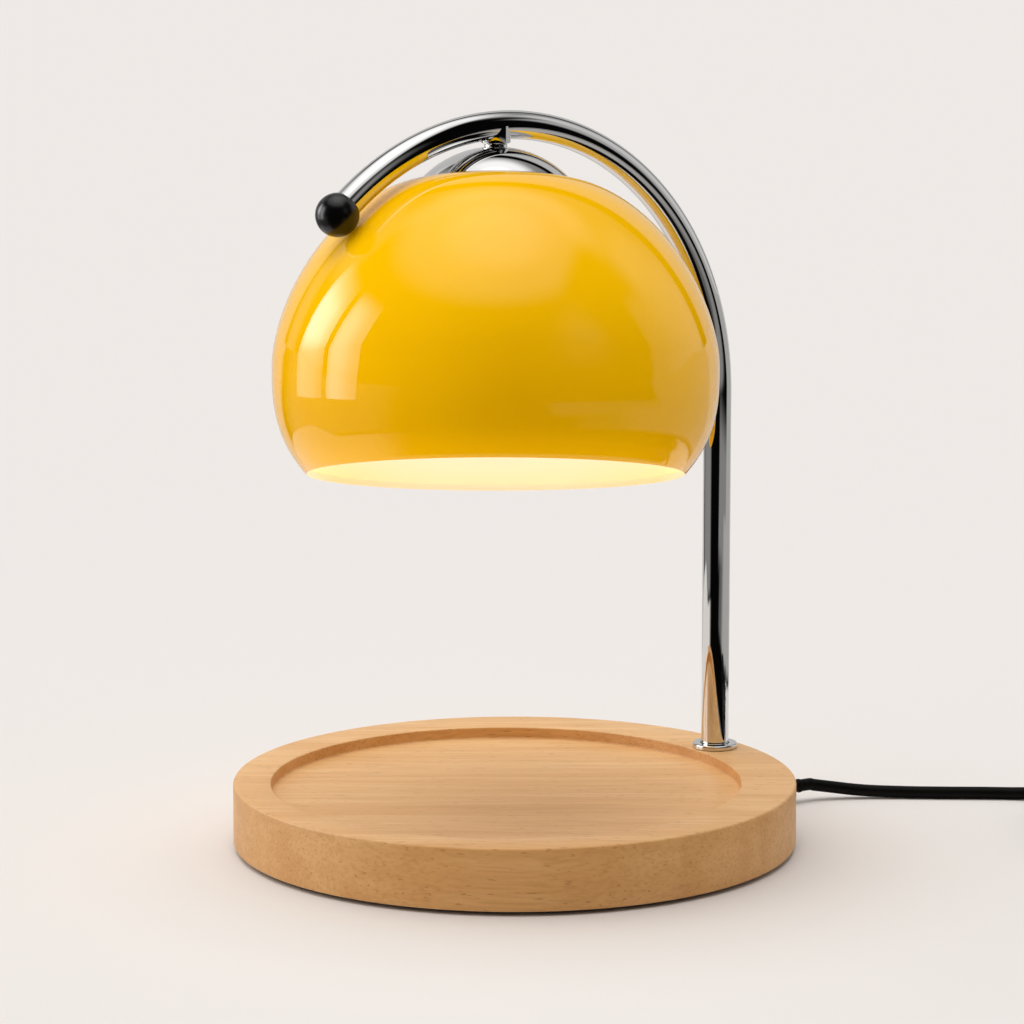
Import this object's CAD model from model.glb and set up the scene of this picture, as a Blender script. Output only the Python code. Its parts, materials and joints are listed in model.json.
"""Candle warmer lamp: a wooden tray, a bent chrome arm and a tilting cased glass shade."""

from __future__ import annotations

import json
import logging
import math
from dataclasses import dataclass
from enum import Enum
from typing import Callable, Sequence, Union

import bmesh
import bpy
from mathutils import Matrix, Vector


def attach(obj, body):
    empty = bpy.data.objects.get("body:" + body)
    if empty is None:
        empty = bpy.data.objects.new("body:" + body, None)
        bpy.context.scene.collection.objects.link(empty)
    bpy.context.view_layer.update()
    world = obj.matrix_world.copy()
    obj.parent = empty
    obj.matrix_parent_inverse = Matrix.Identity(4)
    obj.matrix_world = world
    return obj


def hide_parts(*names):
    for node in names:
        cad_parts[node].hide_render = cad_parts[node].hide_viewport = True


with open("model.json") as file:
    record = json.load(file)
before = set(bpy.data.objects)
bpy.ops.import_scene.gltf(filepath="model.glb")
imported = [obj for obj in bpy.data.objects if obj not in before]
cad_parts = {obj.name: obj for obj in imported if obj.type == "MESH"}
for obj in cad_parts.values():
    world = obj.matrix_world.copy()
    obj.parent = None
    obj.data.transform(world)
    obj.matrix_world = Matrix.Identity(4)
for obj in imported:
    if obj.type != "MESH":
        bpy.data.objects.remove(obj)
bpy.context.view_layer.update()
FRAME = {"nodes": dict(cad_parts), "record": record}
LOG = logging.getLogger("lamp")

Spot = tuple[float, float]
Point = tuple[float, float, float]
Tone = tuple[int, int, int]
Colour = tuple[float, float, float, float]
Number = Union[float, "Wire"]

GAP = 0.0003
SHARP_DEG = 35.0
TRAY_RADIUS = 0.100
TRAY_SHIFT = 0.0049
SHIFT = Matrix.Translation((0, TRAY_SHIFT, 0))
CORD_HEADING = math.radians(30)
CORD_HEIGHT = 0.0062
SHADE_PIVOT: Point = (-0.006541, TRAY_SHIFT - 0.015475, 0.2393)
SHADE_TILT = math.radians(15)
SHADE_HEIGHT = 0.1011
SHADE_TOP_DROP = 0.0014
RIM_DROP = SHADE_HEIGHT + SHADE_TOP_DROP
BLACK: Colour = (0.0, 0.0, 0.0, 1.0)


def tone(red: int, green: int, blue: int) -> Colour:
    """Turns a colour as a screen shows it into linear light.

    Args:
        red: red, from 0 to 255.
        green: green, from 0 to 255.
        blue: blue, from 0 to 255.

    Returns:
        The colour as four linear numbers, the last of them 1.
    """
    shares = [c / 255 for c in (red, green, blue)]
    linear = [c / 12.92 if c < 0.04045 else ((c + 0.055) / 1.055) ** 2.4 for c in shares]
    return (linear[0], linear[1], linear[2], 1.0)


def maths(operation: str, first: bool = True) -> Callable[..., "Wire"]:
    """Makes a method that adds a Math node on a wire and other values.

    Args:
        operation: the Math node's operation.
        first: whether the wire itself is the node's first input.

    Returns:
        The method, which gives the node's result.
    """

    def apply(wire: "Wire", *others: Number) -> "Wire":
        """Adds the node."""
        terms = [wire, *others] if first else [*others, wire]
        return wire.graph.node("ShaderNodeMath", {"operation": operation}, dict(enumerate(terms)))

    return apply


@dataclass(frozen=True)
class Wire:
    """One output socket of a node graph, for use in Python expressions.

    Attributes:
        graph: the graph that the socket belongs to.
        socket: the socket itself.
    """

    graph: "Graph"
    socket: bpy.types.NodeSocket

    __add__ = __radd__ = maths("ADD")
    __sub__ = maths("SUBTRACT")
    __rsub__ = maths("SUBTRACT", first=False)
    __mul__ = __rmul__ = maths("MULTIPLY")
    __truediv__ = maths("DIVIDE")
    __pow__ = maths("POWER")
    at_least = maths("MAXIMUM")
    at_most = maths("MINIMUM")
    absolute = maths("ABSOLUTE")
    sine = maths("SINE")
    cosine = maths("COSINE")

    def step(self, low: float, high: float) -> "Wire":
        """Rises smoothly from 0 to 1 as this value goes from low to high.

        Args:
            low: the value that gives 0.
            high: the value that gives 1.

        Returns:
            The smooth step.
        """
        settings = {"interpolation_type": "SMOOTHSTEP"}
        terms = {0: self, 1: low, 2: high, 3: 0.0, 4: 1.0}
        return self.graph.node("ShaderNodeMapRange", settings, terms)


class Graph:
    """A node tree of any kind, with one way to add a node."""

    def __init__(self, tree: bpy.types.NodeTree) -> None:
        """Keeps the tree that nodes are added to."""
        self.tree = tree

    def node(
        self,
        kind: str,
        settings: dict[str, object] | None = None,
        inputs: dict[str | int, object] | None = None,
        output: str | int = 0,
    ) -> Wire:
        """Adds a node.

        Args:
            kind: the node's type.
            settings: its settings, set first.
            inputs: values or wires by socket name or number.
            output: the output socket that is wanted.

        Returns:
            The wanted output.
        """
        made = self.tree.nodes.new(kind)
        for name, value in (settings or {}).items():
            setattr(made, name, value)
        for key, value in (inputs or {}).items():
            if isinstance(value, Wire):
                self.tree.links.new(value.socket, made.inputs[key])
            else:
                made.inputs[key].default_value = value
        return Wire(self, made.outputs[output] if made.outputs else made.inputs[0])

    def mix(self, factor: Number, first: object, second: object, blend: str = "MIX") -> Wire:
        """Mixes two colours.

        Args:
            factor: how much of the second one.
            first: a colour or a wire.
            second: a colour or a wire.
            blend: the way they mix.

        Returns:
            The mixed colour.
        """
        settings = {"data_type": "RGBA", "blend_type": blend}
        return self.node("ShaderNodeMix", settings, {0: factor, 6: first, 7: second}, 2)

    def split(self, vector: Wire) -> tuple[Wire, Wire, Wire]:
        """Splits a vector.

        Args:
            vector: the vector.

        Returns:
            Its three parts.
        """
        made = self.node("ShaderNodeSeparateXYZ", inputs={0: vector})
        return tuple(Wire(self, socket) for socket in made.socket.node.outputs)

    def join(self, x: Number, y: Number, z: Number) -> Wire:
        """Makes a vector of three values."""
        return self.node("ShaderNodeCombineXYZ", inputs={0: x, 1: y, 2: z})

    def noise(self, place: Wire, scale: Point, detail: float = 3.0, rough: float = 0.5) -> Wire:
        """Noise whose grain has its own size along each axis.

        Args:
            place: where the noise is read.
            scale: features per metre along X, Y and Z.
            detail: octaves.
            rough: how strong the fine octaves are.

        Returns:
            A value about 0.5.
        """
        stretched = self.node("ShaderNodeMapping", inputs={0: place, 3: scale})
        terms = {"Vector": stretched, "Scale": 1.0, "Detail": detail, "Roughness": rough}
        return self.node("ShaderNodeTexNoise", inputs=terms)


class Surface(Graph):
    """A material's graph, with its Principled shader."""

    def __init__(self, name: str, **plain: object) -> None:
        """Makes the material.

        Args:
            name: the material's name.
            plain: Principled inputs that are the same all over, with _ for a space.
        """
        self.material = bpy.data.materials.new(name)
        self.material.use_nodes = True
        super().__init__(self.material.node_tree)
        self.shader = self.tree.nodes["Principled BSDF"]
        for key, value in plain.items():
            self.shader.inputs[key.replace("_", " ")].default_value = value

    @property
    def place(self) -> Wire:
        """The object coordinates."""
        return self.node("ShaderNodeTexCoord", output="Object")

    def shade_place(self) -> Wire:
        """Object coordinates with the shade's place and tilt taken out.

        Returns:
            The shade's own coordinates.
        """
        terms = {0: self.place, 1: SHADE_PIVOT}
        moved = self.node("ShaderNodeMapping", {"vector_type": "TEXTURE"}, terms)
        settings = {"rotation_type": "EULER_XYZ", "invert": True}
        terms = {"Vector": moved, "Rotation": (-SHADE_TILT, 0.0, 0.0)}
        return self.node("ShaderNodeVectorRotate", settings, terms)

    def feed(self, socket: str, wire: Wire) -> None:
        """Links a wire to one of the shader's inputs."""
        self.tree.links.new(wire.socket, self.shader.inputs[socket])

    def bump(self, height: Wire, depth: float) -> None:
        """Raises the surface by a height from 0 to 1 times depth in metres."""
        terms = {"Height": height, "Distance": depth}
        self.feed("Normal", self.node("ShaderNodeBump", inputs=terms))

    def glow(self, colour: Wire, strength: float) -> None:
        """Gives the surface its own light."""
        self.feed("Emission Color", colour)
        self.shader.inputs["Emission Strength"].default_value = strength


@dataclass(frozen=True)
class Beech:
    """Varnished beech with fine fibres along X and short dark flecks."""

    light: Colour = tone(242, 198, 143)
    mid: Colour = tone(230, 180, 121)
    dark: Colour = tone(204, 148, 87)
    fleck: Colour = tone(172, 114, 62)
    fibre_across: float = 900.0
    fleck_across: float = 1100.0

    def make(self) -> bpy.types.Material:
        """Builds the material.

        Returns:
            The material.
        """
        wood = Surface("beech", IOR=1.4, Coat_Weight=0.04, Coat_Roughness=0.25)
        place = wood.place
        sway = wood.noise(place, (9.0, 24.0, 24.0), 2.0)
        bent = wood.node(
            "ShaderNodeVectorMath",
            {"operation": "ADD"},
            {0: place, 1: wood.join(0.0, (sway - 0.5) * 0.012, (sway - 0.5) * 0.008)},
        )
        bands = wood.noise(bent, (5.0, 95.0, 120.0), 4.0, 0.55)
        fibres = wood.noise(bent, (26.0, self.fibre_across, self.fibre_across), 3.0, 0.6)
        flecks = wood.noise(bent, (190.0, self.fleck_across, self.fleck_across), 1.0)
        flecks = flecks.step(0.66, 0.74)
        tint = bands.step(0.3, 0.7)
        colour = wood.mix(tint, self.mid, self.light)
        colour = wood.mix((1 - fibres.step(0.3, 0.6)) * 0.38, colour, self.dark)
        colour = wood.mix(flecks * 0.45, colour, self.fleck)
        _, _, facing = wood.split(wood.node("ShaderNodeTexCoord", output="Normal"))
        upright = 1 - facing.absolute().step(0.3, 0.9)
        colour = wood.mix(upright * 0.75, colour, (0.9, 0.76, 0.52, 1.0), "MULTIPLY")
        wood.feed("Base Color", colour)
        wood.feed("Roughness", 0.4 + fibres * 0.12)
        wood.bump(fibres * 0.8 - flecks * 0.6, 0.00005)
        return wood.material


@dataclass(frozen=True)
class Plated:
    """Bare or plated metal with faint handling marks."""

    name: str
    colour: Colour
    rough: float
    marks: float = 0.02
    grain: float = 60.0
    depth: float = 0.0

    def make(self) -> bpy.types.Material:
        """Builds the material.

        Returns:
            The material.
        """
        metal = Surface(self.name, Metallic=1.0, Base_Color=self.colour)
        wear = metal.noise(metal.place, (self.grain,) * 3, 4.0, 0.6)
        metal.feed("Roughness", self.rough + wear.step(0.35, 0.8) * self.marks)
        if self.depth:
            metal.bump(wear, self.depth)
        return metal.material


@dataclass(frozen=True)
class Moulded:
    """Plastic, rubber, ceramic or lacquer with a fine surface grain."""

    name: str
    colour: Tone
    other: Tone
    rough: float
    grain: float = 2500.0
    depth: float = 0.00002
    shine: float = 0.5

    def make(self) -> bpy.types.Material:
        """Builds the material.

        Returns:
            The material.
        """
        skin = Surface(self.name, IOR=1.5, Specular_IOR_Level=self.shine)
        place = skin.place
        fine = skin.noise(place, (self.grain,) * 3, 2.0)
        broad = skin.noise(place, (70.0,) * 3, 3.0)
        mixed = skin.mix(broad.step(0.35, 0.7), tone(*self.colour), tone(*self.other))
        skin.feed("Base Color", mixed)
        skin.feed("Roughness", self.rough + (broad - 0.5) * 0.1)
        skin.bump(fine, self.depth)
        return skin.material


@dataclass(frozen=True)
class CasedGlass:
    """The glossy yellow outside of the shade, lit through a little near its rim."""

    yellow: Colour = tone(255, 197, 3)
    deep: Colour = tone(240, 174, 1)
    lit: Colour = tone(255, 180, 4)
    strength: float = 0.35

    def make(self) -> bpy.types.Material:
        """Builds the material.

        Returns:
            The material.
        """
        plain = {"Roughness": 0.3, "Coat_Weight": 1.0, "Coat_Roughness": 0.02}
        glass = Surface("cased_glass", IOR=1.52, Specular_IOR_Level=0.0, **plain)
        own = glass.shade_place()
        across, _, height = glass.split(own)
        cloud = glass.noise(own, (14.0, 14.0, 9.0), 2.0)
        down = (height * -1).step(RIM_DROP * 0.3, RIM_DROP)
        colour = glass.mix(cloud.step(0.3, 0.75) * 0.35 + down * 0.4, self.yellow, self.deep)
        glass.feed("Base Color", colour)
        near_rim = (height * -1).step(RIM_DROP - 0.012, RIM_DROP + 0.0005)
        left = (across * -1).step(-0.01, 0.06) * down.at_most(0.6)
        share = 0.5 - down * 0.42 + near_rim * 0.4 + left * 0.6
        glass.glow(glass.mix(share, BLACK, self.lit), self.strength)
        glass.bump(glass.noise(own, (45.0, 45.0, 45.0), 1.0), 0.00003)
        return glass.material


@dataclass(frozen=True)
class LitGlass:
    """The white inside of the shade and its rim, lit by the bulb."""

    name: str
    strength: float
    bright_spot: float = 0.03
    warm: Colour = tone(255, 214, 112)
    pale: Colour = tone(255, 248, 236)

    def make(self) -> bpy.types.Material:
        """Builds the material.

        Returns:
            The material.
        """
        glass = Surface(self.name, IOR=1.52, Base_Color=tone(228, 211, 178), Roughness=0.2)
        own = glass.shade_place()
        x, y, height = glass.split(own)
        back = y - self.bright_spot
        side = (x * x + back * back) ** 0.5
        low = (height * -1).step(RIM_DROP - 0.013, RIM_DROP)
        cloud = glass.noise(own, (30.0, 30.0, 30.0), 2.0)
        warmth = side.step(0.02, 0.075) * 0.6 + low * 0.45 + (cloud - 0.5) * 0.15
        warmth = warmth.at_least(0.0).at_most(1.0)
        glass.glow(glass.mix(warmth, self.pale, self.warm), self.strength)
        return glass.material


@dataclass(frozen=True)
class LitLens:
    """The bulb's lens: pressed facets with the light behind them."""

    facets_per_metre: float = 210.0
    facet_depth: float = 0.0004

    def make(self) -> bpy.types.Material:
        """Builds the material.

        Returns:
            The material.
        """
        lens = Surface("bulb_lens", IOR=1.5, Base_Color=tone(250, 246, 230), Roughness=0.12)
        x, y, _ = lens.split(lens.shade_place())
        terms = {"Vector": lens.join(x, y, 0.0), "Scale": self.facets_per_metre, "Randomness": 0.25}
        facets = lens.node("ShaderNodeTexVoronoi", {"feature": "F1"}, terms, "Distance")
        middle = 1 - ((x * x + y * y) ** 0.5).step(0.004, 0.024)
        share = middle * 0.8 + facets * 0.2
        lens.glow(lens.mix(share, tone(255, 226, 150), tone(255, 252, 236)), 1.0)
        lens.bump(facets, self.facet_depth)
        return lens.material


class Finish(Enum):
    """The finishes by the record's slot names."""

    BEECH = "beech"
    CHROME = "chrome"
    STEEL = "zinc_steel"
    BALL = "black_gloss"
    CORD = "black_cord"
    RUBBER = "rubber"
    GLASS = "yellow_glass"
    CERAMIC = "ceramic"
    CLEAR = "clear_glass"
    MIRROR = "reflector"
    BRASS = "brass"
    PLASTIC = "black_plastic"
    BOARD = "board"
    LEAD = "white_lead"


class Workshop:
    """Every material and recipe, made once."""

    PLATED = {
        Finish.CHROME: Plated("chrome", (0.72, 0.72, 0.715, 1.0), 0.02),
        Finish.STEEL: Plated("zinc_steel", tone(176, 178, 182), 0.28, 0.15, 300.0, 0.00002),
        Finish.MIRROR: Plated("reflector", (0.88, 0.86, 0.8, 1.0), 0.1, 0.05, 400.0, 0.00006),
        Finish.BRASS: Plated("brass", tone(196, 158, 92), 0.25, 0.15, 300.0),
    }
    MOULDED = {
        Finish.BALL: Moulded("ball_lacquer", (7, 7, 7), (11, 11, 11), 0.24, 900.0, 0.000004),
        Finish.CORD: Moulded("cord_sheath", (7, 7, 6), (11, 11, 9), 0.5, 1800.0, shine=0.1),
        Finish.RUBBER: Moulded("rubber", (34, 34, 34), (44, 43, 42), 0.8, 2200.0, 0.00005),
        Finish.CERAMIC: Moulded("ceramic", (232, 228, 216), (220, 214, 200), 0.5, 1500.0),
        Finish.PLASTIC: Moulded("black_plastic", (24, 24, 25), (32, 32, 33), 0.45, 2600.0, 0.00004),
        Finish.BOARD: Moulded("board", (34, 92, 52), (28, 78, 44), 0.45, 500.0),
        Finish.LEAD: Moulded("silicone_sleeve", (222, 220, 212), (206, 203, 192), 0.55),
    }
    OTHERS = {Finish.BEECH: Beech(), Finish.GLASS: CasedGlass(), Finish.CLEAR: LitLens()}

    def __init__(self) -> None:
        """Makes the materials and the recipes."""
        looks = {**self.PLATED, **self.MOULDED, **self.OTHERS}
        self.finishes = {finish: look.make() for finish, look in looks.items()}
        self.shade_lining = [LitGlass("lit_inside", 0.465).make(), LitGlass("lit_rim", 0.5).make()]
        self.sweep, self.bell, self.circlet = Sweep(), Bell(), Circlet()

    def settle(
        self,
        name: str,
        mesh: bpy.types.Mesh,
        finish: Finish,
        body: str,
        *nodes: str,
        lining: Sequence[bpy.types.Material] = (),
    ) -> bpy.types.Object:
        """Puts a finished mesh in the scene.

        Args:
            name: the piece's name.
            mesh: its mesh, in the lamp's frame.
            finish: its finish, which is also the record's slot.
            body: the body that it rides on.
            nodes: the solids that it replaces.
            lining: the materials of its further slots.

        Returns:
            The piece.
        """
        mesh.materials.clear()
        for material in (self.finishes[finish], *lining):
            mesh.materials.append(material)
        made = linked(name, mesh)
        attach(made, body)
        if nodes:
            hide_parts(*nodes)
        LOG.info("%s: %d faces on %s", name, len(mesh.polygons), body)
        return made

    def dress(self) -> None:
        """Gives every solid that keeps its own shape the material of its slot."""
        slots = {row["node"]: row["material_slot"] for row in FRAME["record"]["subparts"]}
        for name, node in FRAME["nodes"].items():
            node.data.materials.clear()
            node.data.materials.append(self.finishes[Finish(slots[name])])
        LOG.info("%d solids dressed", len(FRAME["nodes"]))


def linked(name: str, data: bpy.types.ID) -> bpy.types.Object:
    """Adds an object to the scene.

    Args:
        name: the object's name.
        data: its mesh, camera or lamp.

    Returns:
        The object.
    """
    made = bpy.data.objects.new(name, data)
    bpy.context.scene.collection.objects.link(made)
    return made


def shaded(mesh: bpy.types.Mesh, sharp: float = SHARP_DEG) -> bpy.types.Mesh:
    """Shades a mesh smooth, apart from its sharp edges.

    Args:
        mesh: the mesh.
        sharp: the angle in degrees from which an edge is sharp.

    Returns:
        The same mesh.
    """
    mesh.shade_smooth()
    mesh.set_sharp_from_angle(angle=math.radians(sharp))
    return mesh


def finished(build: bmesh.types.BMesh, name: str) -> bpy.types.Mesh:
    """Turns a bmesh into a smooth mesh whose faces point outwards.

    Args:
        build: the bmesh, which is freed.
        name: the mesh's name.

    Returns:
        The mesh.
    """
    bmesh.ops.remove_doubles(build, verts=build.verts, dist=0.000001)
    bmesh.ops.recalc_face_normals(build, faces=build.faces)
    mesh = bpy.data.meshes.new(name)
    build.to_mesh(mesh)
    build.free()
    return shaded(mesh)


@dataclass(frozen=True)
class Ring:
    """One circle of a turned or lofted skin."""

    radius: float
    height: float
    centre: Spot = (0.0, 0.0)


def lofted(name: str, rings: Sequence[Ring], steps: int, closed: bool = False) -> bpy.types.Mesh:
    """A skin over a row of circles; a circle of no radius is a pole.

    Args:
        name: the mesh's name.
        rings: the circles, down the outer side.
        steps: points on each circle.
        closed: whether the last circle joins the first.

    Returns:
        The mesh.
    """
    build = bmesh.new()
    rows: list[list[bmesh.types.BMVert]] = []
    for ring in rings:
        if ring.radius == 0:
            rows.append([build.verts.new((*ring.centre, ring.height))])
            continue
        row = []
        for i in range(steps):
            angle = 2 * math.pi * i / steps
            x = ring.centre[0] + ring.radius * math.cos(angle)
            y = ring.centre[1] + ring.radius * math.sin(angle)
            row.append(build.verts.new((x, y, ring.height)))
        rows.append(row)
    pairs = list(zip(rows, rows[1:] + rows[:1])) if closed else list(zip(rows, rows[1:]))
    for upper, lower in pairs:
        for i in range(steps):
            j = (i + 1) % steps
            corners = [upper[i % len(upper)], upper[j % len(upper)]]
            corners += [lower[j % len(lower)], lower[i % len(lower)]]
            kept = list(dict.fromkeys(corners))
            if len(kept) > 2:
                build.faces.new(kept)
    return finished(build, name)


def corner(
    radius: float, height: float, size: float, start: float, turn: float = 90.0, parts: int = 4
) -> list[Ring]:
    """A rounded corner of a turned outline.

    Args:
        radius: the radius of the corner's centre.
        height: the height of the corner's centre.
        size: the corner's own radius.
        start: the first direction in degrees, 0 outwards and 90 up.
        turn: how far it turns, clockwise.
        parts: how many straight parts it has.

    Returns:
        Its circles.
    """
    rings = []
    for i in range(parts + 1):
        angle = math.radians(start - turn * i / parts)
        rings.append(Ring(radius + size * math.cos(angle), height + size * math.sin(angle)))
    return rings


def placed(mesh: bpy.types.Mesh, matrix: Matrix) -> bpy.types.Mesh:
    """Moves a mesh's own points.

    Args:
        mesh: the mesh.
        matrix: the move.

    Returns:
        The same mesh.
    """
    mesh.transform(matrix)
    mesh.update()
    return mesh


def evaluated(host: bpy.types.Object, name: str) -> bpy.types.Mesh:
    """The mesh that an object's modifiers give, with the object removed.

    Args:
        host: the object with its modifiers.
        name: the mesh's name.

    Returns:
        The plain mesh.
    """
    bpy.context.view_layer.update()
    graph = bpy.context.evaluated_depsgraph_get()
    mesh = bpy.data.meshes.new_from_object(host.evaluated_get(graph))
    mesh.name = name
    bpy.data.objects.remove(host, do_unlink=True)
    return mesh


def carved(mesh: bpy.types.Mesh, cutter: bpy.types.Mesh) -> bpy.types.Mesh:
    """Cuts one mesh with another.

    Args:
        mesh: the mesh to cut.
        cutter: the mesh that is taken away.

    Returns:
        The cut mesh.
    """
    host, tool = linked("host", mesh), linked("tool", cutter)
    cut = host.modifiers.new("cut", "BOOLEAN")
    cut.operation = "DIFFERENCE"
    cut.solver = "EXACT"
    cut.object = tool
    made = evaluated(host, mesh.name)
    bpy.data.objects.remove(tool, do_unlink=True)
    return shaded(made)


def slab(name: str, outline: Sequence[Spot], low: float, high: float) -> bpy.types.Mesh:
    """A flat outline between two heights.

    Args:
        name: the mesh's name.
        outline: its corners.
        low: its underside.
        high: its top.

    Returns:
        The mesh.
    """
    build = bmesh.new()
    face = build.faces.new([build.verts.new((x, y, low)) for x, y in outline])
    grown = bmesh.ops.extrude_face_region(build, geom=[face])
    rising = [v for v in grown["geom"] if isinstance(v, bmesh.types.BMVert)]
    bmesh.ops.translate(build, vec=(0.0, 0.0, high - low), verts=rising)
    return finished(build, name)


class Recipe(Graph):
    """A Geometry Nodes tree with named inputs."""

    SOCKETS = {float: "NodeSocketFloat", int: "NodeSocketInt"}

    def __init__(self, name: str, inputs: dict[str, type]) -> None:
        """Makes the tree with its inputs.

        Args:
            name: the tree's name.
            inputs: the kind of each named input.
        """
        super().__init__(bpy.data.node_groups.new(name, "GeometryNodeTree"))
        face = self.tree.interface
        face.new_socket("Geometry", in_out="INPUT", socket_type="NodeSocketGeometry")
        for label, kind in inputs.items():
            face.new_socket(label, in_out="INPUT", socket_type=self.SOCKETS[kind])
        face.new_socket("Material", in_out="INPUT", socket_type="NodeSocketMaterial")
        face.new_socket("Geometry", in_out="OUTPUT", socket_type="NodeSocketGeometry")
        entry = self.tree.nodes.new("NodeGroupInput")
        self.given = {socket.name: Wire(self, socket) for socket in entry.outputs if socket.name}

    def close(self, geometry: Wire) -> None:
        """Ends the tree in Realize Instances, smooth shading and Set Material.

        Args:
            geometry: the geometry that the tree gives.
        """
        real = self.node("GeometryNodeRealizeInstances", inputs={0: geometry})
        smooth = self.node("GeometryNodeSetShadeSmooth", inputs={"Geometry": real})
        terms = {"Geometry": smooth, "Material": self.given["Material"]}
        dressed = self.node("GeometryNodeSetMaterial", inputs=terms)
        self.node("NodeGroupOutput", inputs={0: dressed})

    def run(self, name: str, mesh: bpy.types.Mesh, **values: object) -> bpy.types.Mesh:
        """Runs the tree on a mesh.

        Args:
            name: the new mesh's name.
            mesh: the mesh that goes in.
            values: the inputs by name, with _ for a space.

        Returns:
            The plain mesh that comes out.
        """
        host = linked("host", mesh)
        modifier = host.modifiers.new("recipe", "NODES")
        modifier.node_group = self.tree
        sockets = self.tree.interface.items_tree
        keys = {item.name: item.identifier for item in sockets if item.in_out == "INPUT"}
        for label, value in values.items():
            modifier[keys[label.replace("_", " ")]] = value
        return evaluated(host, name)


class Sweep(Recipe):
    """Sweeps a circle along the edges of a mesh line."""

    def __init__(self) -> None:
        """Builds the tree."""
        super().__init__("sweep", {"Radius": float, "Sides": int})
        line = self.node("GeometryNodeMeshToCurve", inputs={"Mesh": self.given["Geometry"]})
        profile = self.node(
            "GeometryNodeCurvePrimitiveCircle",
            {"mode": "RADIUS"},
            {"Resolution": self.given["Sides"], "Radius": self.given["Radius"]},
        )
        terms = {"Curve": line, "Profile Curve": profile, "Fill Caps": True}
        self.close(self.node("GeometryNodeCurveToMesh", inputs=terms))

    def along(
        self, name: str, points: Sequence[Sequence[float]], radius: float, sides: int
    ) -> bpy.types.Mesh:
        """Makes a tube.

        Args:
            name: the mesh's name.
            points: its centre line.
            radius: its radius.
            sides: points round it.

        Returns:
            The tube's mesh.
        """
        line = bpy.data.meshes.new("line")
        edges = [(i, i + 1) for i in range(len(points) - 1)]
        line.from_pydata([tuple(p) for p in points], edges, [])
        return shaded(self.run(name, line, Radius=radius, Sides=sides), 50)


class Bell(Recipe):
    """The shade's skin: a grid bent to its rule, from the top hole down to the rim."""

    FLAT_SHARE = 0.08
    CROWN_SHARE = 0.72

    def __init__(self) -> None:
        """Builds the tree."""
        shape = ("Hole", "Top", "Widest", "Rim", "Widest Drop", "Height")
        inputs = dict.fromkeys((*shape, "Crown Power", "Skirt Power"), float)
        super().__init__("bell", {**inputs, "Around": int, "Down": int})
        given = self.given
        terms = {"Size X": 1.0, "Size Y": 1.0}
        terms.update({"Vertices X": given["Around"], "Vertices Y": given["Down"]})
        grid = self.node("GeometryNodeMeshGrid", inputs=terms)
        across, up, _ = self.split(self.node("GeometryNodeInputPosition"))
        angle = (across + 0.5) * (2 * math.pi)
        down = 0.5 - up
        crown_end = self.FLAT_SHARE + self.CROWN_SHARE
        flat = (down / self.FLAT_SHARE).at_most(1.0)
        crown = ((down - self.FLAT_SHARE) / self.CROWN_SHARE).at_least(0.0).at_most(1.0)
        crown = crown * (math.pi / 2)
        skirt = ((down - crown_end) / (1 - crown_end)).at_least(0.0)
        out = crown.sine().at_least(0.0) ** given["Crown Power"]
        sunk = 1 - crown.cosine().at_least(0.0) ** given["Crown Power"]
        radius = given["Hole"] + (given["Top"] - given["Hole"]) * flat
        radius = radius + (given["Widest"] - given["Top"]) * out
        radius = radius - (given["Widest"] - given["Rim"]) * skirt ** given["Skirt Power"]
        height = given["Widest Drop"] * sunk + (given["Height"] - given["Widest Drop"]) * skirt
        place = self.join(radius * angle.cosine(), radius * angle.sine(), height * -1)
        bent = self.node("GeometryNodeSetPosition", inputs={"Geometry": grid, "Position": place})
        terms = {"Geometry": bent, "Distance": 0.00001}
        self.close(self.node("GeometryNodeMergeByDistance", inputs=terms))


class Circlet(Recipe):
    """Copies of one small piece round a circle, each turned to face outwards."""

    def __init__(self) -> None:
        """Builds the tree."""
        super().__init__("circlet", {"Radius": float, "Count": int, "First Angle": float})
        given = self.given
        terms = {"Vertices": given["Count"], "Radius": 1.0}
        circle = self.node("GeometryNodeMeshCircle", inputs=terms)
        index = self.node("GeometryNodeInputIndex")
        angle = index * (2 * math.pi) / given["Count"] + given["First Angle"]
        place = self.join(angle.cosine() * given["Radius"], angle.sine() * given["Radius"], 0.0)
        spots = self.node("GeometryNodeSetPosition", inputs={"Geometry": circle, "Position": place})
        turn = self.node("FunctionNodeEulerToRotation", inputs={0: self.join(0.0, 0.0, angle)})
        terms = {"Points": spots, "Instance": given["Geometry"], "Rotation": turn}
        self.close(self.node("GeometryNodeInstanceOnPoints", inputs=terms))


@dataclass(frozen=True)
class Panel:
    """An upright soft box that shows in glossy surfaces and fades towards its top.

    Attributes:
        name: the lamp's name.
        left: azimuth of its left side in degrees, 0 at the front and positive to the right.
        right: azimuth of its right side.
        low: height of its lower side in metres.
        high: height of its upper side in metres.
        glow: its brightness, where 1 is white.
        foot: the share of its brightness at its lower end.
        fade: how far across it starts to lose light, and where it has lost it.
        edge: the share of its brightness past its fade.
    """

    name: str
    left: float
    right: float
    low: float
    high: float
    glow: float
    foot: float
    fade: Spot
    edge: float


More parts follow.
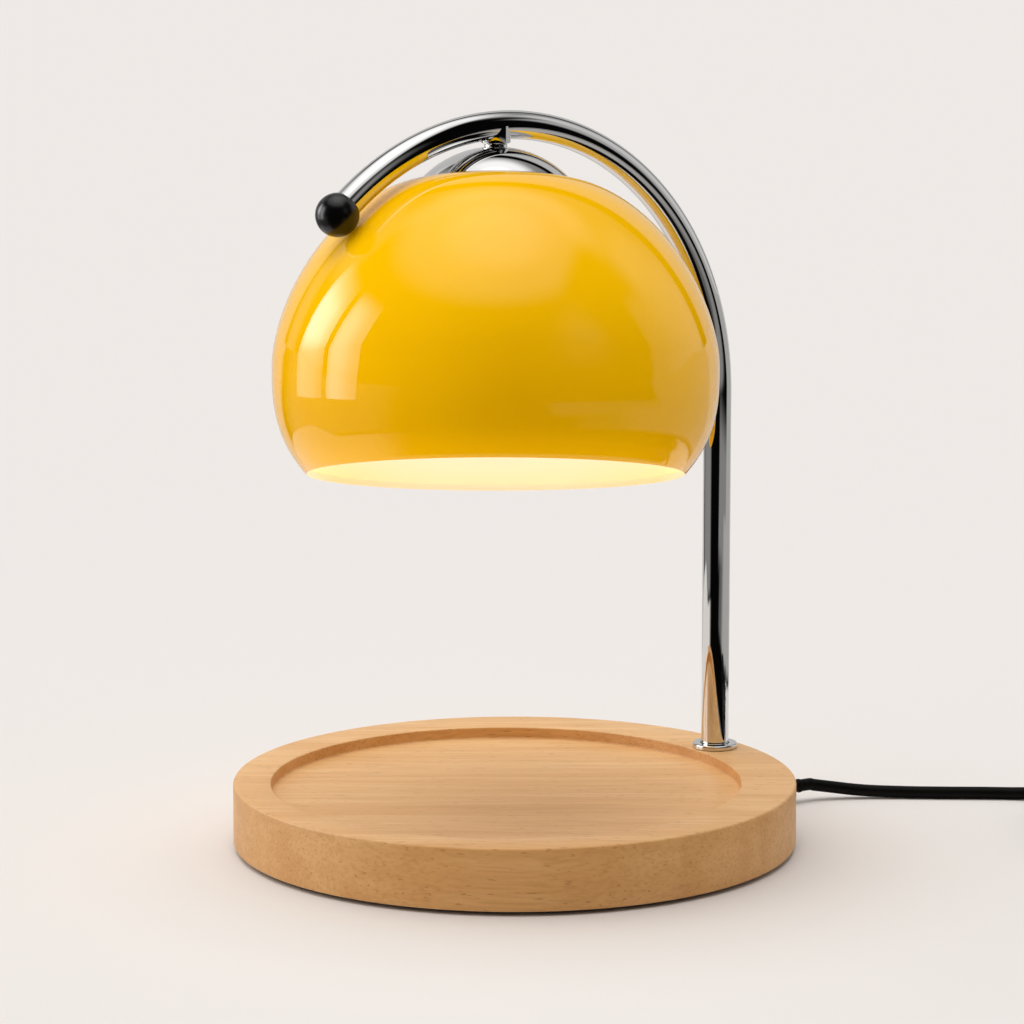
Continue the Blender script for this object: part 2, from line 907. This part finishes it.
@dataclass(frozen=True)
class Studio:
    """Camera, floor, world and lamps."""

    focal_mm: float = 166.99
    sensor_mm: float = 36.0
    camera_place: Point = (-0.00097, TRAY_SHIFT - 1.64411, 0.42174)
    pitch_deg: float = 79.597
    pale: Colour = tone(234, 230, 227)
    distance: Colour = tone(238, 234, 230)
    floor_half: float = 14.0
    table_dark: Colour = (0.002, 0.002, 0.002, 1.0)
    table_light: Colour = (0.46, 0.45, 0.44, 1.0)
    table_radius: float = 0.30
    aim: Point = (-0.006, -0.005, 0.19)
    reach: float = 0.9
    world_glow: float = 0.58
    sun_glow: float = 0.48
    sun_spread: float = math.radians(50)
    sun_turn: Point = (math.radians(-2), math.radians(-3), 0.0)
    panels: tuple[Panel, ...] = (
        Panel("left_back_pane", -117, -94.5, 0.01, 0.9, 6.6, 0.25, (0.6, 1.0), 0.5),
        Panel("left_front_pane", -91, -70.5, 0.01, 0.9, 5.0, 0.75, (0.3, 1.0), 0.4),
    )

    def build_camera(self) -> None:
        """Sets the camera where the photograph was taken from."""
        data = bpy.data.cameras.new("camera")
        data.sensor_width = self.sensor_mm
        data.lens = self.focal_mm
        data.clip_end = 100.0
        camera = linked("camera", data)
        camera.location = self.camera_place
        camera.rotation_euler = (math.radians(self.pitch_deg), 0.0, 0.0)
        bpy.context.scene.camera = camera

    def build_world(self) -> None:
        """Gives the world its soft light, and a tent, a backdrop and a dark front to reflect."""
        world = bpy.data.worlds.new("studio")
        bpy.context.scene.world = world
        world.use_nodes = True
        graph = Graph(world.node_tree)
        x, y, z = graph.split(graph.node("ShaderNodeTexCoord", output="Generated"))
        # Matt surfaces get soft light that is dim from the front and strong from the left.
        front = (y * -1).step(-0.2, 0.9) * (1 - z.step(0.3, 0.95))
        sides = 0.66 + (x * -1).step(0.0, 1.0) * 1.9 + x.step(0.2, 1.0) * 0.3
        soft = (1 - front * 0.75) * sides * self.world_glow
        # Glossy ones see a backdrop, and a ceiling and side walls apart from it by a dark gap.
        behind = y + z.at_least(0.0) * 0.08
        backdrop = behind.step(0.79, 0.82) * 0.58
        roof = z.step(0.72, 0.88) + z.step(0.9, 1.0) * 0.9
        roof = roof * (1 - x.step(0.42, 0.58) * (1 - y.step(0.05, 0.3)))
        roof = roof + z.step(0.45, 0.7) * y.step(0.0, 0.5) * x.step(-0.5, -0.1) * 0.3
        glint = (y * -1).step(0.3, 0.6) * x.step(0.4, 0.8) * z.step(0.1, 0.5) * 0.4
        right = x.step(0.45, 0.8) * y.step(-0.08, 0.03) * (0.45 + y.step(0.05, 0.35) * 0.25)
        right = right * (1 - z.step(0.45, 0.62) * (1 - y.step(0.1, 0.3)))
        tent = (roof + right + glint) * (1 - behind.step(0.71, 0.74))
        # Two dim strips at the back left keep the edges of the glass and the tube apart.
        band = (x * -1).step(0.45, 0.6) * y.step(0.58, 0.66) * (1 - y.step(0.72, 0.78)) * 0.4
        band = band + (x * -1).step(0.3, 0.5) * y.step(0.3, 0.45) * z.step(0.35, 0.5) * 0.4
        mirrored = backdrop + tent + band + 0.002
        seen = graph.node("ShaderNodeLightPath", output="Is Camera Ray")
        glossy = graph.node("ShaderNodeLightPath", output="Is Glossy Ray")
        light = soft * (1 - glossy) + mirrored * glossy
        colour = graph.mix(seen, graph.join(light, light * 0.99, light * 0.98), self.distance)
        back = world.node_tree.nodes["Background"]
        world.node_tree.links.new(colour.socket, back.inputs["Color"])

    def build_floor(self) -> None:
        """Lays a plain pale floor, which glossy surfaces see as a table with a front edge."""
        half = self.floor_half
        mesh = bpy.data.meshes.new("floor")
        corners = [(-half, -half, 0), (half, -half, 0), (half, half, 0), (-half, half, 0)]
        mesh.from_pydata(corners, [], [(0, 1, 2, 3)])
        surface = Surface("floor", Roughness=0.9, Specular_IOR_Level=0.0)
        x, y, _ = surface.split(surface.place)
        away = (x * x + y * y) ** 0.5
        glossy = surface.node("ShaderNodeLightPath", output="Is Glossy Ray")
        east, south = x / away, y / away * -1
        # Glossy surfaces see the table as it is up to its edge, except dark in front.
        rear = (south * -1).step(0.72, 0.78)
        ahead = (south.step(0.45, 0.8) + east.step(0.6, 0.8) * south.step(-0.3, -0.2)).at_most(1.0)
        ahead = ahead * away.step(0.15, 0.19)
        border = away - (south * -1).step(-0.2, 0.3) * (east * -1).step(0.4, 0.8) * 0.12
        beyond = border.step(self.table_radius - 0.01, self.table_radius + 0.01)
        unlit = beyond.at_least(ahead) * (1 - rear * 0.75)
        # Past that they see grey at both sides and nothing elsewhere.
        side = east.step(0.5, 0.7) * (1 - south.step(0.25, 0.65) * 0.7)
        side = side * (1 - away.step(0.62, 0.72) * south.step(0.03, 0.12))
        outer = east.step(0.35, 0.5) * away.step(0.42, 0.54) * (1 - away.step(0.8, 1.0)) * 0.58
        side = side.at_least(outer)
        side = side.at_least((east * -1).step(0.7, 0.9) * 0.6) * away.step(0.3, 0.34)
        far = surface.mix(side, self.table_dark, self.table_light)
        surface.feed("Base Color", surface.mix(glossy * unlit, self.pale, far))
        mesh.materials.append(surface.material)
        linked("floor", mesh)

    def add_panel(self, panel: Panel) -> None:
        """Hangs a soft box that only glossy surfaces see.

        Args:
            panel: the soft box.
        """
        turn = math.radians((panel.left + panel.right) / 2)
        way = Vector((math.sin(turn), -math.cos(turn), 0.0))
        data = bpy.data.lights.new(panel.name, "AREA")
        data.shape = "RECTANGLE"
        data.size = 2 * self.reach * math.tan(math.radians(panel.right - panel.left) / 2)
        data.size_y = panel.high - panel.low
        data.energy = panel.glow * math.pi * data.size * data.size_y
        data.use_nodes = True
        graph = Graph(data.node_tree)
        across, up, _ = graph.split(graph.node("ShaderNodeTexCoord", output="UV"))
        swell = up.step(0.15, 0.42) * (1 - up.step(0.58, 0.8) * 0.75)
        level = (panel.foot + swell * (1 - panel.foot)) * (1 - up.step(0.72, 0.98))
        level = level * (1 - across.step(*panel.fade) * (1 - panel.edge))
        level = level * (0.6 + across.step(0.0, 0.2) * 0.4)
        shine = graph.node("ShaderNodeEmission", inputs={"Strength": level})
        out = data.node_tree.nodes["Light Output"]
        data.node_tree.links.new(shine.socket, out.inputs["Surface"])
        lamp = linked(panel.name, data)
        middle = Vector((self.aim[0], self.aim[1], (panel.low + panel.high) / 2))
        lamp.location = middle + way * self.reach
        lamp.rotation_euler = way.to_track_quat("Z", "Y").to_euler()
        lamp.visible_diffuse = False

    def build_sun(self) -> None:
        """Adds even light from above and the left for a soft shadow."""
        data = bpy.data.lights.new("even_light", "SUN")
        data.energy = self.sun_glow * math.pi
        data.angle = self.sun_spread
        lamp = linked("even_light", data)
        lamp.rotation_euler = self.sun_turn
        lamp.visible_glossy = False

    def build(self) -> None:
        """Builds the whole studio."""
        self.build_camera()
        self.build_world()
        self.build_floor()
        for panel in self.panels:
            self.add_panel(panel)
        self.build_sun()
        bpy.context.scene.view_settings.view_transform = "Standard"
        LOG.info("studio: camera, world, floor and %d panels", len(self.panels))


@dataclass
class MainsCord:
    """The free cord: one tube from the strain relief through dimmer and coil to the plug."""

    shop: Workshop
    diameter: float = 0.0045
    relief_length: float = 0.0217
    dimmer: Point = (0.2065, 0.0145, 0.00735)
    dimmer_length: float = 0.062
    dimmer_inside: float = 0.004
    wheel_side: float = -0.0047
    wheel_stretch: Spot = (0.006, 0.025)
    plug: Point = (0.2500, 0.0170, 0.00685)
    coil_place: Spot = (0.2445, -0.0455)
    coil_radius: float = 0.0275
    layer_turns: float = 3.75
    pitch: float = 0.00505
    coil_bottom: float = 0.0009
    run_route: tuple[Point, ...] = (
        (0.1103, 0.0636, 0.0058), (0.1180, 0.0656, 0.0044), (0.1285, 0.0666, 0.0030),
        (0.1420, 0.0666, 0.00240), (0.1580, 0.0659, 0.00230), (0.1740, 0.0655, 0.00230),
        (0.1850, 0.0648, 0.00232), (0.1944, 0.0628, 0.0030), (0.2016, 0.0587, 0.0047),
        (0.2054, 0.0538, 0.0065),
    )
    mid_route: tuple[Point, ...] = ((0.2064, -0.0250, 0.0064), (0.2060, -0.0310, 0.0046))
    tail_route: tuple[Point, ...] = (
        (0.2802, -0.0270, 0.0062), (0.2756, -0.0180, 0.0044), (0.2690, -0.0105, 0.0034),
        (0.2615, -0.0040, 0.0035), (0.2550, 0.0025, 0.0046), (0.2513, 0.0075, 0.0059),
    )
    stretches: tuple[str, ...] = ("cord_run", "cord_mid", "cord_coil", "cord_tail")
    carried: tuple[str, ...] = (
        "coil_tie", "dimmer_base", "dimmer_cover", "dimmer_wheel", "dimmer_pot", "dimmer_board",
        "dimmer_screw_0", "dimmer_screw_1", "plug_body", "plug_pin_0", "plug_pin_1", "cord_relief",
    )

    def coil(self) -> list[Vector]:
        """The coil's centre line: inwards on the lower layer, outwards on the upper.

        Returns:
            Its points.
        """
        turns = 2 * self.layer_turns
        half = turns / 2
        least = self.coil_radius - self.pitch * self.layer_turns / 2
        count = round(turns * 24)
        points = []
        for i in range(count + 1):
            turn = turns * i / count
            radius = least + self.pitch * abs(turn - half)
            climb = min(max((turn - half) * 2 + 0.5, 0.0), 1.0)
            rise = self.pitch * (1 - math.cos(math.pi * climb)) / 2
            angle = math.pi + turn * 2 * math.pi
            x = self.coil_place[0] + radius * math.cos(angle)
            y = self.coil_place[1] + radius * math.sin(angle)
            points.append(Vector((x, y, self.coil_bottom + self.diameter / 2 + rise)))
        first = points[0] - (points[1] - points[0]).normalized() * self.diameter
        last = points[-1] + (points[-1] - points[-2]).normalized() * self.diameter
        return [first, *points, last]

    def smoothed(self, route: Sequence[Vector], parts: int = 4) -> list[Vector]:
        """A smooth line through the route's points.

        Args:
            route: the points.
            parts: how many parts each stretch is given.

        Returns:
            The finer line.
        """
        given = [2 * route[0] - route[1], *route, 2 * route[-1] - route[-2]]
        fine = []
        for a, b, c, d in zip(given, given[1:], given[2:], given[3:]):
            for i in range(parts):
                t = i / parts
                point = 2 * b + (c - a) * t + (2 * a - 5 * b + 4 * c - d) * t**2
                fine.append((point + (3 * b - a - 3 * c + d) * t**3) / 2)
        return [*fine, route[-1]]

    def past_wheel(self, middle: Vector, parts: int = 6) -> list[Vector]:
        """The stretch inside the dimmer, which bends to one side of its wheel.

        Args:
            middle: the dimmer's middle.
            parts: how many points each half has.

        Returns:
            Its points, from the back to the front.
        """
        near, far = self.wheel_stretch
        rear = []
        for share in (i / parts for i in range(parts)):
            offset = self.wheel_side * (1 + math.cos(math.pi * share)) / 2
            rear.append(Vector((offset, near + (far - near) * share, 0)))
        front = [Vector((p.x, -p.y, 0)) for p in rear]
        return [middle + p for p in (*rear[::-1], *front)]

    def centre_line(self) -> list[Vector]:
        """The whole cord's centre line in the lamp's frame.

        Returns:
            Its points.
        """
        outwards = Vector((math.cos(CORD_HEADING), math.sin(CORD_HEADING), 0))
        start = outwards * (TRAY_RADIUS + self.relief_length)
        start += Vector((0, 0, CORD_HEIGHT))
        along = Vector((0, self.dimmer_length / 2 - self.dimmer_inside, 0))
        middle, plug = Vector(self.dimmer), Vector(self.plug)
        back, own = Vector((0, 1, 0)), self.diameter
        loops = self.coil()
        inside = (0.0, self.dimmer_inside, self.dimmer_inside + own / 2)
        line = [start + outwards * GAP, start + outwards * own, *map(Vector, self.run_route)]
        line += [middle + along + back * s for s in reversed(inside)]
        line += self.past_wheel(middle)
        line += [middle - along - back * s for s in inside]
        line += [*map(Vector, self.mid_route), *loops[:1]]
        tail = [loops[-1], *map(Vector, self.tail_route), plug - back * own, plug - back * GAP]
        whole = self.smoothed(line)[:-1] + loops[:-1] + self.smoothed(tail)
        return [p + Vector((0, TRAY_SHIFT, 0)) for p in whole]

    def build(self) -> None:
        line = self.centre_line()
        mesh = self.shop.sweep.along("mains_cord", line, self.diameter / 2, 16)
        cord = self.shop.settle("mains_cord", mesh, Finish.CORD, "base", *self.stretches)


@dataclass
class Tray:
    """The round wooden tray with its shallow recess, cover, feet and chrome sleeve."""

    shop: Workshop
    bottom: float = 0.0015
    top: float = 0.0235
    edge: float = 0.0009
    recess_radius: float = 0.0834
    recess_floor: float = 0.0193
    recess_centre: Spot = (-0.003064, -0.002074)
    recess_edge: float = 0.0005
    recess_fillet: float = 0.0008
    ballast_radius: float = 0.0644
    ballast_pocket: float = 0.0090
    cover_rebate: float = 0.0977
    cover_seat: float = 0.0029
    post: Spot = (0.0732, 0.04956)
    feet_circle: float = 0.084
    screw_circle: float = 0.075

    def build_wood(self) -> None:
        """Builds the wooden disc."""
        off, edge, fillet = self.recess_centre, self.recess_edge, self.recess_fillet
        brim = corner(self.recess_radius + edge, self.top - edge, edge, 90, -90)
        base = corner(self.recess_radius - fillet, self.recess_floor + fillet, fillet, 0, 90)
        rings = [
            Ring(0.0, self.recess_floor, off),
            Ring(self.recess_radius * 0.5, self.recess_floor, off),
            *(Ring(r.radius, r.height, off) for r in (*base[::-1], *brim[::-1])),
            *corner(TRAY_RADIUS - self.edge, self.top - self.edge, self.edge, 90, 90),
            *corner(TRAY_RADIUS - self.edge, self.bottom + self.edge, self.edge, 0, 90),
            Ring(self.cover_rebate, self.bottom),
            Ring(self.cover_rebate, self.cover_seat),
            Ring(self.ballast_radius, self.cover_seat),
            Ring(self.ballast_radius, self.ballast_pocket),
            Ring(0.0, self.ballast_pocket),
        ]
        mesh = placed(lofted("tray", rings, 256), SHIFT)
        self.shop.settle("tray", mesh, Finish.BEECH, "base", "base_disc")

    def build_sleeve(self) -> None:
        """Builds the chrome flange and its barrel."""
        bore, nut_bore, barrel, flange = 0.0053, 0.0040, 0.0067, 0.0082
        foot, shoulder, low = 0.0141, 0.0171, self.top + GAP
        high = low + 0.0016
        rings = [
            *corner(bore + 0.0003, high - 0.0003, 0.0003, 180, 90, 3),
            *corner(flange - 0.0006, high - 0.0006, 0.0006, 90, 90, 5),
            Ring(flange, low), Ring(barrel, low), Ring(barrel, foot),
            Ring(nut_bore, foot), Ring(nut_bore, shoulder), Ring(bore, shoulder),
        ]
        mesh = lofted("post_flange", rings, 96, closed=True)
        placed(mesh, SHIFT @ Matrix.Translation((*self.post, 0)))
        self.shop.settle("post_flange", mesh, Finish.CHROME, "base", "post_sleeve")

    def build_cover(self) -> None:
        """Builds the flat cover under the tray."""
        radius, high, edge = 0.0974, 0.0026, 0.0005
        rings = [
            Ring(0.0, high), Ring(radius, high),
            *corner(radius - edge, self.bottom + edge, edge, 0, 90, 3), Ring(0.0, self.bottom),
        ]
        mesh = placed(lofted("cover", rings, 192), SHIFT)
        self.shop.settle("cover", mesh, Finish.PLASTIC, "base", "bottom_cover")

    def build_circle(
        self, name: str, mesh: bpy.types.Mesh, finish: Finish, radius: float, nodes: Sequence[str]
    ) -> None:
        """Builds copies of a small piece round the tray's underside, one for each solid.

        Args:
            name: the name of them all.
            mesh: the small piece.
            finish: its finish.
            radius: the circle's radius.
            nodes: the solids.
        """
        count, paint = len(nodes), self.shop.finishes[finish]
        circle = self.shop.circlet.run(
            name, mesh, Radius=radius, Count=count, First_Angle=math.pi / count, Material=paint
        )
        self.shop.settle(name, placed(circle, SHIFT), finish, "base", *nodes)

    def build_feet(self) -> None:
        """Builds the four rubber feet."""
        radius, high, edge, hollow, deep = 0.0070, 0.0012, 0.0005, 0.0038, 0.0003
        pad = [
            Ring(0.0, high), Ring(radius, high), *corner(radius - edge, edge, edge, 0, 90, 3),
            Ring(hollow + 0.0004, 0.0), Ring(hollow, deep), Ring(0.0, deep),
        ]
        nodes = [f"foot_pad_{i}" for i in range(4)]
        self.build_circle("feet", lofted("foot", pad, 48), Finish.RUBBER, self.feet_circle, nodes)

    def build_screws(self) -> None:
        """Builds the cover's three screws with their crossed slots."""
        shank, head, edge = 0.0015, 0.0030, 0.0004
        end, seat, face = 0.0117, 0.0012, 0.0005
        profile = [
            Ring(0.0, end), Ring(shank - 0.0004, end), Ring(shank, end - 0.0007),
            Ring(shank, seat), Ring(head, seat),
            *corner(head - edge, face + edge, edge, 0, 90, 3), Ring(0.0, face),
        ]
        screw = lofted("screw", profile, 32)
        long, wide, deep = 0.0017, 0.0003, 0.0009
        outline = [(-long, -wide), (long, -wide), (long, wide), (-long, wide)]
        for turn in (0.0, math.pi / 2):
            bar = placed(slab("bar", outline, 0.0, deep), Matrix.Rotation(turn, 4, "Z"))
            screw = carved(screw, bar)
        nodes = [f"cover_screw_{i}" for i in range(3)]
        self.build_circle("cover_screws", screw, Finish.STEEL, self.screw_circle, nodes)

    def build_relief(self) -> None:
        """Builds the ribbed strain relief at the back of the tray."""
        wall, root, tip = TRAY_RADIUS + GAP, 0.1023, 0.1217
        thin, thick, groove, ribs = 0.0025, 0.0031, 0.0004, 5
        rings = [Ring(0.0, tip), *corner(0.0021, tip - 0.0004, 0.0004, 90, 90, 3)]
        for share in ((i + 0.5) / ribs for i in range(ribs)):
            radius = thin + (thick - thin) * share
            at = tip - (tip - root) * share
            rings += [
                Ring(radius, at + 0.0009), Ring(radius - groove, at + 0.0005),
                Ring(radius - groove, at - 0.0005), Ring(radius, at - 0.0009),
            ]
        rings += [
            Ring(thick, root), Ring(0.0034, root - 0.0002), Ring(0.0034, wall), Ring(0.0026, wall),
            Ring(0.0026, 0.0940), Ring(0.0033, 0.0940), Ring(0.0033, 0.0926), Ring(0.0, 0.0926),
        ]
        heading = Matrix.Rotation(CORD_HEADING, 4, "Z") @ Matrix.Rotation(math.pi / 2, 4, "Y")
        rise = Matrix.Translation((0, 0, CORD_HEIGHT))
        mesh = placed(lofted("cord_relief", rings, 40), SHIFT @ rise @ heading)
        self.shop.settle("relief", mesh, Finish.CORD, "base", "cord_relief")

    def build(self) -> None:
        """Builds every piece of the tray."""
        self.build_wood()
        self.build_sleeve()
        self.build_cover()
        self.build_feet()
        self.build_screws()
        self.build_relief()


@dataclass
class Arm:
    """The bent chrome tube with its ball and the boss under its crown."""

    shop: Workshop
    post: Spot = (0.073201, 0.04956)
    heading: float = math.radians(39.2)
    tube_radius: float = 0.005
    foot: float = 0.0174
    bend_height: float = 0.1549
    bend_radius: float = 0.1029
    past_crown: float = math.radians(41.6)
    tail: float = 0.0065
    tube_inside_ball: float = 0.0034
    ball_radius: float = 0.0075
    ball_bore_floor: float = 0.00285
    boss_radius: float = 0.0052
    boss_bottom: float = 0.2518
    stem_radius: float = 0.0033
    spacer_radius: float = 0.0037
    spacer_bottom: float = 0.2476

    @property
    def frame(self) -> Matrix:
        """The arm's own frame, with +X towards the crown."""
        place = SHIFT @ Matrix.Translation((*self.post, 0))
        return place @ Matrix.Rotation(math.pi + self.heading, 4, "Z")

    @property
    def crown_frame(self) -> Matrix:
        """The arm's frame moved to below the crown."""
        return self.frame @ Matrix.Translation((self.bend_radius, 0, 0))

    def bend_point(self, angle: float) -> Vector:
        """The point of the centre line at an angle round the bend, in the arm's frame."""
        along = self.bend_radius * (1 - math.cos(angle))
        return Vector((along, 0, self.bend_height + self.bend_radius * math.sin(angle)))

    @property
    def bend_end(self) -> float:
        """The angle at which the bend ends and the straight tail starts."""
        return math.pi / 2 + self.past_crown - self.tail / self.bend_radius

    @property
    def tail_way(self) -> Vector:
        """The direction of the tail."""
        return Vector((math.sin(self.bend_end), 0, math.cos(self.bend_end)))

    def build_tube(self) -> None:
        """Builds the tube."""
        straight_parts, bend_parts = 12, 110
        rise = (self.bend_height - self.foot) / straight_parts
        line = [Vector((0, 0, self.foot + rise * i)) for i in range(straight_parts)]
        line += [self.bend_point(self.bend_end * i / bend_parts) for i in range(bend_parts + 1)]
        line.append(line[-1] + self.tail_way * (self.tail - self.tube_inside_ball))
        line = [self.frame @ p for p in line]
        mesh = self.shop.sweep.along("arm_tube", line, self.tube_radius, 64)
        self.shop.settle("bent_tube", mesh, Finish.CHROME, "arm", "arm_tube")

    def build_boss(self) -> None:
        """Builds the boss under the crown."""
        crown, size = self.bend_height + self.bend_radius, 0.0004
        rings = [
            Ring(0.0, crown), Ring(self.boss_radius, crown),
            *corner(self.boss_radius - size, self.boss_bottom + size, size, 0, 90, 3),
            Ring(self.stem_radius, self.boss_bottom),
            Ring(self.stem_radius, self.boss_bottom + 0.0015),
            Ring(0.0, self.boss_bottom + 0.0015),
        ]
        mesh = placed(lofted("boss", rings, 64), self.crown_frame)
        self.shop.settle("crown_boss", mesh, Finish.CHROME, "arm")

    def build_ball(self) -> None:
        """Builds the ball on the tube's end."""
        mouth, floor = self.tube_radius + GAP, self.ball_bore_floor
        low = math.degrees(math.acos(mouth / self.ball_radius))
        rings = corner(0.0, 0.0, self.ball_radius, 90, 90 + low, 40)
        rings[0] = Ring(0.0, self.ball_radius)
        wall = mouth - 0.0001
        rings += [Ring(wall, -floor - 0.0022), Ring(wall, -floor), Ring(0.0, -floor)]
        centre = self.bend_point(self.bend_end) + self.tail_way * self.tail
        turn = Matrix.Rotation(self.bend_end, 4, "Y")
        mesh = placed(lofted("ball", rings, 72), self.frame @ Matrix.Translation(centre) @ turn)
        self.shop.settle("ball", mesh, Finish.BALL, "arm", "ball_knob")

    def build_spacer(self) -> None:
        """Builds the small round spacer below the boss."""
        radius, edge = self.spacer_radius, 0.0003
        low, high = self.spacer_bottom, self.boss_bottom - GAP
        rings = [
            *corner(radius, high - edge, edge, 90, 90, 3),
            *corner(radius, low + edge, edge, 0, 90, 3),
            Ring(self.stem_radius, low),
            Ring(self.stem_radius, high),
        ]
        mesh = placed(lofted("spacer", rings, 48, closed=True), self.crown_frame)
        self.shop.settle("spacer", mesh, Finish.CHROME, "arm", "swivel_spacer")

    def build(self) -> None:
        """Builds every piece of the arm."""
        self.build_tube()
        self.build_boss()
        self.build_ball()
        self.build_spacer()


@dataclass
class GlassShade:
    """The cased glass shade and the polished cap over its hole."""

    shop: Workshop
    hole: float = 0.0145
    top: float = 0.0266
    widest: float = 0.0768
    rim: float = 0.0646
    widest_drop: float = 0.0634
    crown_power: float = 1.18
    skirt_power: float = 2.8
    wall: float = 0.003
    rim_edge: float = 0.0007
    cap_radius: float = 0.0265
    cap_height: float = 0.012
    cap_base: float = -0.0011
    cap_wall: float = 0.001
    cap_lip: float = 0.0008
    slot_half: float = 0.0044
    slot_turn: float = math.radians(15.6)

    @property
    def frame(self) -> Matrix:
        """The shade's own frame at its tilt pin."""
        return Matrix.Translation(SHADE_PIVOT) @ Matrix.Rotation(-SHADE_TILT, 4, "X")

    def build_glass(self) -> None:
        """Builds the glass, whose wall and rounded rim are modifiers."""
        mesh = self.shop.bell.run(
            "shade", bpy.data.meshes.new("start"), Hole=self.hole, Top=self.top, Widest=self.widest,
            Rim=self.rim, Widest_Drop=self.widest_drop, Height=SHADE_HEIGHT,
            Crown_Power=self.crown_power, Skirt_Power=self.skirt_power, Around=161, Down=101,
            Material=self.shop.finishes[Finish.GLASS],
        )
        build = bmesh.new()
        build.from_mesh(mesh)
        bmesh.ops.recalc_face_normals(build, faces=build.faces)
        if sum(face.normal.dot(face.calc_center_median()) for face in build.faces) < 0:
            bmesh.ops.reverse_faces(build, faces=build.faces)
        build.to_mesh(mesh)
        build.free()
        placed(mesh, self.frame @ Matrix.Translation((0, 0, -SHADE_TOP_DROP)))
        lining = self.shop.shade_lining
        made = self.shop.settle("shade", mesh, Finish.GLASS, "shade", "glass_shade", lining=lining)
        wall = made.modifiers.new("wall", "SOLIDIFY")
        wall.thickness = self.wall
        wall.offset = -1.0
        wall.use_even_offset = True
        wall.use_quality_normals = True
        wall.material_offset = 1
        wall.material_offset_rim = 2
        edge = made.modifiers.new("edge", "BEVEL")
        edge.width = self.rim_edge
        edge.segments = 3
        edge.limit_method = "ANGLE"
        edge.angle_limit = math.radians(50)

    def build_cap(self) -> None:
        """Builds the cap with the slot in which the stem moves."""
        sphere = (self.cap_radius**2 + self.cap_height**2) / (2 * self.cap_height)
        apex = self.cap_base + self.cap_height
        middle, inner, lip = apex - sphere, self.cap_radius - 0.006, self.cap_base + self.cap_lip
        last = math.degrees(math.asin((self.cap_base - middle) / sphere))
        rings = corner(0.0, middle, sphere, 90, 90 - last, 36)
        rings[0] = Ring(0.0, apex)
        low = math.degrees(math.asin((lip - middle) / (sphere - self.cap_wall)))
        under = corner(0.0, middle, sphere - self.cap_wall, 90, 90 - low, 20)
        under[0] = Ring(0.0, apex - self.cap_wall)
        rings += [Ring(inner, self.cap_base), Ring(inner, lip), *under[::-1]]
        travel, half = apex * math.tan(self.slot_turn) + GAP, self.slot_half
        round_end = [math.pi * i / 16 for i in range(17)]
        outline = [(half * math.cos(a), half * math.sin(a)) for a in round_end]
        outline += [(-x, -y - travel) for x, y in outline]
        slot = slab("slot", outline, apex - 0.006, apex + 0.006)
        mesh = placed(carved(lofted("cap", rings, 128), slot), self.frame)
        self.shop.settle("cap", mesh, Finish.CHROME, "shade", "cap_dome")

    def build(self) -> None:
        """Builds the shade and its cap."""
        self.build_glass()
        self.build_cap()


@dataclass
class ReflectorBulb:
    """The lit reflector bulb."""

    shade: GlassShade
    top: float = -0.0336
    base_length: float = 0.0124
    base_radius: float = 0.0105
    base_bore: float = 0.0058
    length: float = 0.046
    radius: float = 0.025
    rim: float = 0.002
    wall: float = 0.0013
    flare_power: float = 0.62

    def build_bowl(self) -> None:
        """Builds the reflector."""
        start, front = self.top - self.base_length - GAP, self.top - self.length
        low = front + self.rim
        outer, inner = [], []
        for share in (i / 24 for i in range(25)):
            radius = self.base_radius + (self.radius - self.base_radius) * share**self.flare_power
            height = start + (low - start) * share
            outer.append(Ring(radius, height))
            inner.append(Ring(max(radius - self.wall, self.base_bore), height))
        outer += corner(self.radius - 0.0004, front + 0.0004, 0.0004, 0, 90, 3)
        outer.append(Ring(self.radius - self.wall, front))
        bowl = lofted("bulb_reflector", [*outer, *inner[::-1]], 96, closed=True)
        mesh = placed(bowl, self.shade.frame)
        self.shade.shop.settle("bulb_bowl", mesh, Finish.MIRROR, "bulb", "bulb_reflector")

    def build_lens(self) -> None:
        """Builds the lens."""
        edge, front = self.radius - self.wall - GAP, self.top - self.length
        rings = [Ring(0.0, front + 0.0015), Ring(edge, front + 0.0015), Ring(edge, front + 0.0007)]
        for angle in (0.3, 0.7, 1.1):
            rings.append(Ring(edge * math.cos(angle), front + 0.0007 - 0.0006 * math.sin(angle)))
        rings.append(Ring(0.0, front + 0.0001))
        mesh = placed(lofted("bulb_glass", rings, 72), self.shade.frame)
        self.shade.shop.settle("bulb_glass", mesh, Finish.CLEAR, "bulb", "bulb_lens")

    def build(self) -> None:
        """Builds the bulb."""
        self.build_bowl()
        self.build_lens()


def main() -> None:
    """Builds the studio and the lamp."""
    logging.basicConfig(level=logging.INFO, format="%(message)s")
    Studio().build()
    shop = Workshop()
    MainsCord(shop).build()
    shop.dress()
    Tray(shop).build()
    Arm(shop).build()
    shade = GlassShade(shop)
    shade.build()
    ReflectorBulb(shade).build()


if __name__ == "__main__":
    main()
